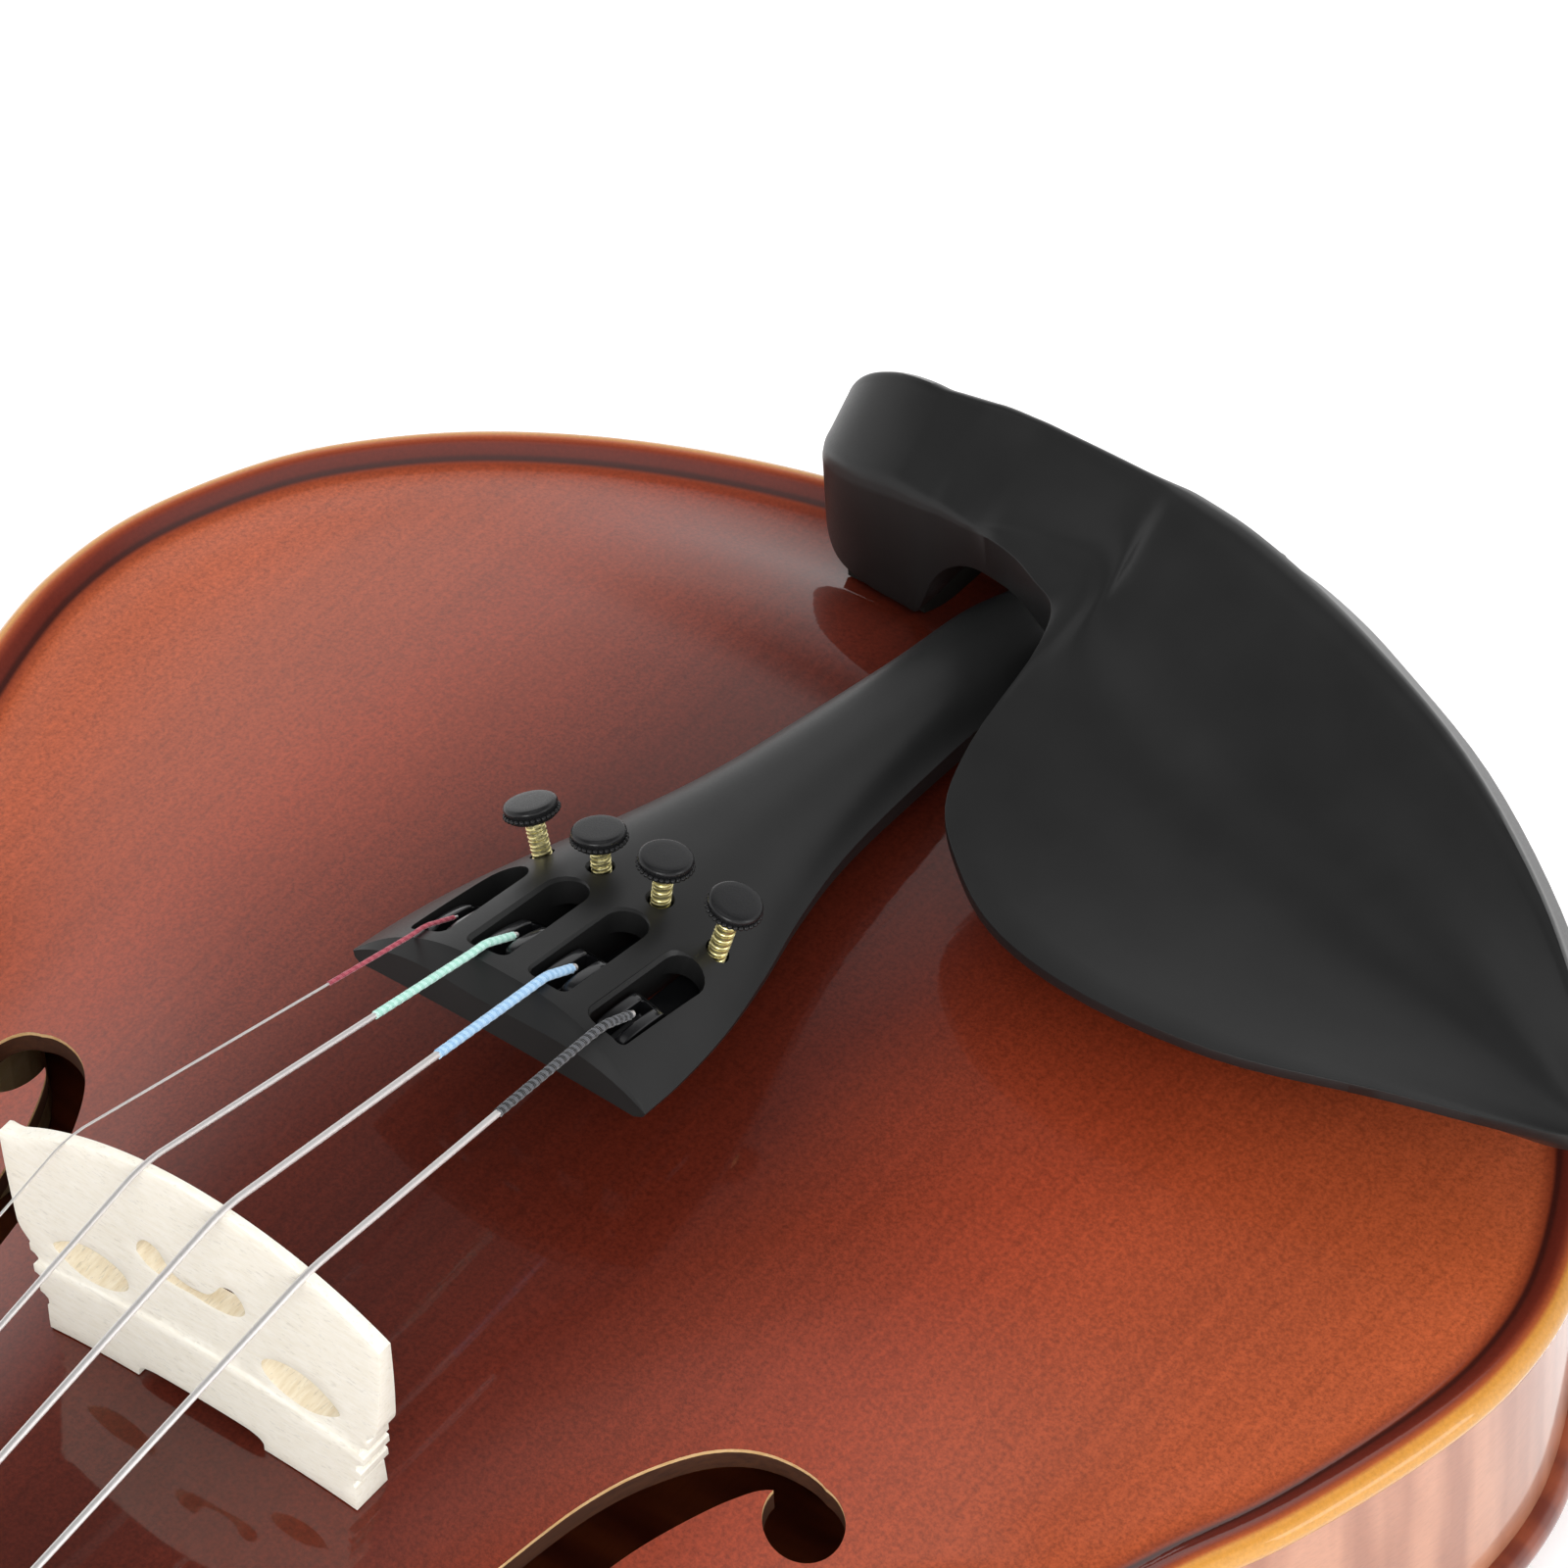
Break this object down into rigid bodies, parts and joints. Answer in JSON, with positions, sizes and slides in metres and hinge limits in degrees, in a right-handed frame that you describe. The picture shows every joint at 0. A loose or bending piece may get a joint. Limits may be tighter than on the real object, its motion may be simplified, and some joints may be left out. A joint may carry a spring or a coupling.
{
  "type": "violin",
  "caption": "Violin with an arched hollow body, sound holes, bridge, tailpiece with fine tuners, chin rest with a screw clamp, fingerboard, pegs and scroll.",
  "frame": {"origin": "crest of the back, which is flattened a little there, straight below the middle of the bridge", "axes": "+Y towards the scroll, +X to the treble side, +Z out of the belly"},
  "size_m": [0.209, 0.6055, 0.0968],
  "materials": {
    "varnished_spruce": "red-brown gloss varnish, darker border",
    "varnished_maple": "red-brown gloss varnish",
    "bare_spruce": "bare, planed",
    "bare_maple": "bare, pale, fine sanded",
    "ebony": "black, satin",
    "black_plastic": "satin black",
    "nylon": "smooth, satin",
    "plated_steel": "polished nickel plate",
    "cork": "cut cork",
    "string_metal": "flat wound, satin",
    "brass": "pale, turned",
    "blackened_metal": "gloss black",
    "silk_black": "wound thread",
    "silk_blue": "wound thread",
    "silk_mint": "wound thread",
    "silk_red": "wound thread"
  },
  "bodies": {
    "violin": {"top_plate": "varnished_spruce", "back_plate": "varnished_maple", "rib_upper_bass": "varnished_maple", "rib_upper_treble": "varnished_maple", "rib_centre_bass": "varnished_maple", "rib_centre_treble": "varnished_maple", "rib_lower": "varnished_maple", "top_block": "bare_spruce", "end_block": "bare_spruce", "corner_block_upper_bass": "bare_spruce", "corner_block_upper_treble": "bare_spruce", "corner_block_lower_bass": "bare_spruce", "corner_block_lower_treble": "bare_spruce", "lining_top": "bare_spruce", "lining_back": "bare_spruce", "bass_bar": "bare_spruce", "sound_post": "bare_spruce", "neck": "varnished_maple", "fingerboard": "ebony", "nut": "ebony", "saddle": "ebony", "end_button": "ebony", "bridge": "bare_maple", "tailpiece": "black_plastic", "tail_gut": "nylon", "tail_gut_nut_bass": "plated_steel", "tail_gut_nut_treble": "plated_steel", "string_g": "string_metal", "string_d": "string_metal", "string_a": "string_metal", "string_e": "string_metal", "chin_rest": "black_plastic", "chin_rest_cork_bass": "cork", "chin_rest_cork_treble": "cork", "chin_rest_stud_bass": "plated_steel", "chin_rest_stud_treble": "plated_steel"},
    "peg_g": {"peg_g": "ebony", "winding_g": "silk_black"},
    "peg_d": {"peg_d": "ebony", "winding_d": "silk_blue"},
    "peg_a": {"peg_a": "ebony", "winding_a": "silk_mint"},
    "peg_e": {"peg_e": "ebony", "winding_e": "silk_red"},
    "tuner_screw_g": {"tuner_screw_g": "brass"},
    "tuner_cap_g": {"tuner_cap_g": "black_plastic"},
    "tuner_lever_g": {"tuner_lever_g": "blackened_metal"},
    "tuner_screw_d": {"tuner_screw_d": "brass"},
    "tuner_cap_d": {"tuner_cap_d": "black_plastic"},
    "tuner_lever_d": {"tuner_lever_d": "blackened_metal"},
    "tuner_screw_a": {"tuner_screw_a": "brass"},
    "tuner_cap_a": {"tuner_cap_a": "black_plastic"},
    "tuner_lever_a": {"tuner_lever_a": "blackened_metal"},
    "tuner_screw_e": {"tuner_screw_e": "brass"},
    "tuner_cap_e": {"tuner_cap_e": "black_plastic"},
    "tuner_lever_e": {"tuner_lever_e": "blackened_metal"},
    "clamp_barrel_bass": {"clamp_barrel_bass": "plated_steel"},
    "clamp_barrel_treble": {"clamp_barrel_treble": "plated_steel"},
    "clamp_foot": {"clamp_foot": "plated_steel", "clamp_foot_cork": "cork"}
  },
  "joints": [
    {"name": "peg_turn_g", "type": "hinge", "parent": "violin", "child": "peg_g", "pos_m": [0, 0.34007, 0.03413], "axis": [1, 0, 0], "continuous": true, "deforming": ["string_g", "winding_g"]},
    {"name": "peg_turn_d", "type": "hinge", "parent": "violin", "child": "peg_d", "pos_m": [0, 0.36842, 0.02519], "axis": [1, 0, 0], "continuous": true, "deforming": ["string_d", "winding_d"]},
    {"name": "peg_turn_a", "type": "hinge", "parent": "violin", "child": "peg_a", "pos_m": [0, 0.38242, 0.02026], "axis": [1, 0, 0], "continuous": true, "deforming": ["string_a", "winding_a"]},
    {"name": "peg_turn_e", "type": "hinge", "parent": "violin", "child": "peg_e", "pos_m": [0, 0.35442, 0.02986], "axis": [1, 0, 0], "continuous": true, "deforming": ["string_e", "winding_e"]},
    {"name": "tuner_slide_g", "type": "slide", "parent": "violin", "child": "tuner_screw_g", "axis": [-0.2196, -0.2172, 0.9511], "range_m": [-0.0049, 0.0008]},
    {"name": "tuner_turn_g", "type": "hinge", "parent": "tuner_screw_g", "child": "tuner_cap_g", "pos_m": [-0.01359, -0.07282, 0.08062], "axis": [-0.2196, -0.2172, 0.9511], "range_deg": [-3531.53, 576.58]},
    {"name": "tuner_lever_g", "type": "hinge", "parent": "violin", "child": "tuner_lever_g", "pos_m": [-0.01104, -0.05694, 0.07264], "axis": [-0.9756, 0.0489, -0.2141], "range_deg": [-20.7, 3.38], "deforming": ["string_g"]},
    {"name": "tuner_slide_d", "type": "slide", "parent": "violin", "child": "tuner_screw_d", "axis": [-0.0238, -0.2226, 0.9746], "range_m": [-0.0037, 0.002]},
    {"name": "tuner_turn_d", "type": "hinge", "parent": "tuner_screw_d", "child": "tuner_cap_d", "pos_m": [-0.00425, -0.07301, 0.08146], "axis": [-0.0238, -0.2226, 0.9746], "range_deg": [-2666.66, 1441.44]},
    {"name": "tuner_lever_d", "type": "hinge", "parent": "violin", "child": "tuner_lever_d", "pos_m": [-0.004, -0.05734, 0.07438], "axis": [-0.9997, 0.0053, -0.0232], "range_deg": [-15.63, 8.45], "deforming": ["string_d"]},
    {"name": "tuner_slide_a", "type": "slide", "parent": "violin", "child": "tuner_screw_a", "axis": [0.1729, -0.2193, 0.9602], "range_m": [-0.0025, 0.0032]},
    {"name": "tuner_turn_a", "type": "hinge", "parent": "tuner_screw_a", "child": "tuner_cap_a", "pos_m": [0.00463, -0.07274, 0.08025], "axis": [0.1729, -0.2193, 0.9602], "range_deg": [-1801.8, 2306.3]},
    {"name": "tuner_lever_a", "type": "hinge", "parent": "violin", "child": "tuner_lever_a", "pos_m": [0.00304, -0.05736, 0.07447], "axis": [-0.9849, -0.0385, 0.1686], "range_deg": [-10.56, 13.52], "deforming": ["string_a"]},
    {"name": "tuner_slide_e", "type": "slide", "parent": "violin", "child": "tuner_screw_e", "axis": [0.3629, -0.2075, 0.9084], "range_m": [-0.0034, 0.0023]},
    {"name": "tuner_turn_e", "type": "hinge", "parent": "tuner_screw_e", "child": "tuner_cap_e", "pos_m": [0.01379, -0.07246, 0.07903], "axis": [0.3629, -0.2075, 0.9084], "range_deg": [-2450.45, 1657.66]},
    {"name": "tuner_lever_e", "type": "hinge", "parent": "violin", "child": "tuner_lever_e", "pos_m": [0.01013, -0.05701, 0.07291], "axis": [-0.9318, -0.0808, 0.3538], "range_deg": [-14.36, 9.72], "deforming": ["string_e"]},
    {"name": "clamp_turn_bass", "type": "hinge", "parent": "violin", "child": "clamp_barrel_bass", "pos_m": [-0.02, -0.1648, 0.039], "axis": [0, 0, 1], "range_deg": [0, 1545]},
    {"name": "clamp_turn_treble", "type": "hinge", "parent": "violin", "child": "clamp_barrel_treble", "pos_m": [0.02, -0.1648, 0.039], "axis": [0, 0, 1], "range_deg": [0, 1545]},
    {"name": "clamp_slide", "type": "slide", "parent": "violin", "child": "clamp_foot", "axis": [0, 0, 1], "range_m": [-0.003, 0]}
  ],
  "couplings": [
    {"joint": "tuner_turn_g", "follows": "tuner_slide_g", "rad_per_m": 12566},
    {"joint": "tuner_lever_g", "follows": "tuner_slide_g", "rad_per_m": 72.993},
    {"joint": "tuner_turn_d", "follows": "tuner_slide_d", "rad_per_m": 12566},
    {"joint": "tuner_lever_d", "follows": "tuner_slide_d", "rad_per_m": 72.993},
    {"joint": "tuner_turn_a", "follows": "tuner_slide_a", "rad_per_m": 12566},
    {"joint": "tuner_lever_a", "follows": "tuner_slide_a", "rad_per_m": 72.993},
    {"joint": "tuner_turn_e", "follows": "tuner_slide_e", "rad_per_m": 12566},
    {"joint": "tuner_lever_e", "follows": "tuner_slide_e", "rad_per_m": 72.993},
    {"joint": "clamp_turn_bass", "follows": "clamp_slide", "rad_per_m": -8976},
    {"joint": "clamp_turn_treble", "follows": "clamp_slide", "rad_per_m": -8976}
  ]
}
